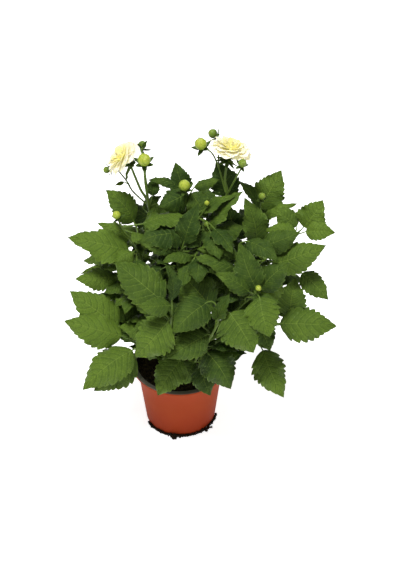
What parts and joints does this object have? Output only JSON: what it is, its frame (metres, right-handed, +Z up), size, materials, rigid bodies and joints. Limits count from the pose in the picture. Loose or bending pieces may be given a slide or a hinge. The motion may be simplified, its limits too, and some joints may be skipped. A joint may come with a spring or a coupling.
{
  "type": "potted dahlia",
  "caption": "Bushy dahlia in a tapered grower's pot: toothed leaves on upright stems, two double cream blooms above them, round green buds, and potting soil with crumbs at the foot.",
  "frame": {"origin": "centre of the pot's underside, on the ground", "axes": "+X to the plant's right as seen from the front, +Y to its back, +Z up along the pot's axis"},
  "size_m": [0.342, 0.2855, 0.4165],
  "materials": {
    "terracotta_plastic": "thin satin terracotta plastic outside, near-black inside and on the lip",
    "peat": "rough dark potting soil with pale specks",
    "peat_crumb": "rough dark brown crumbs",
    "leaf_green": "satin leaf with lighter veins",
    "petal_cream": "soft matte petal, pale yellow at the heart",
    "bud_yellow_green": "smooth yellow-green bud",
    "bud_green": "smooth green bud"
  },
  "bodies": {
    "root": {"pot": "terracotta_plastic", "soil": "peat", "peat_crumbs": "peat_crumb", "shoot_left_bloom": "leaf_green", "shoot_right_bloom": "leaf_green", "shoot_centre_bud": "leaf_green", "shoot_left_bud": "leaf_green", "shoot_right_bud": "leaf_green", "shoot_front_right": "leaf_green", "shoot_centre_tip": "leaf_green", "shoot_front_left": "leaf_green", "shoot_front_tip": "leaf_green", "bloom_left": "petal_cream", "bloom_right": "petal_cream", "bud_left_large": "bud_yellow_green", "bud_right_yellow": "bud_yellow_green", "bud_centre": "bud_yellow_green", "bud_centre_small": "bud_yellow_green", "bud_left_low": "bud_yellow_green", "bud_front_right": "bud_yellow_green", "bud_left_turned": "bud_green", "bud_left_hidden": "bud_green", "bud_right_green": "bud_green", "bud_right_side": "bud_green", "bud_right_high": "bud_green", "bud_centre_closed": "bud_green"}
  },
  "joints": []
}
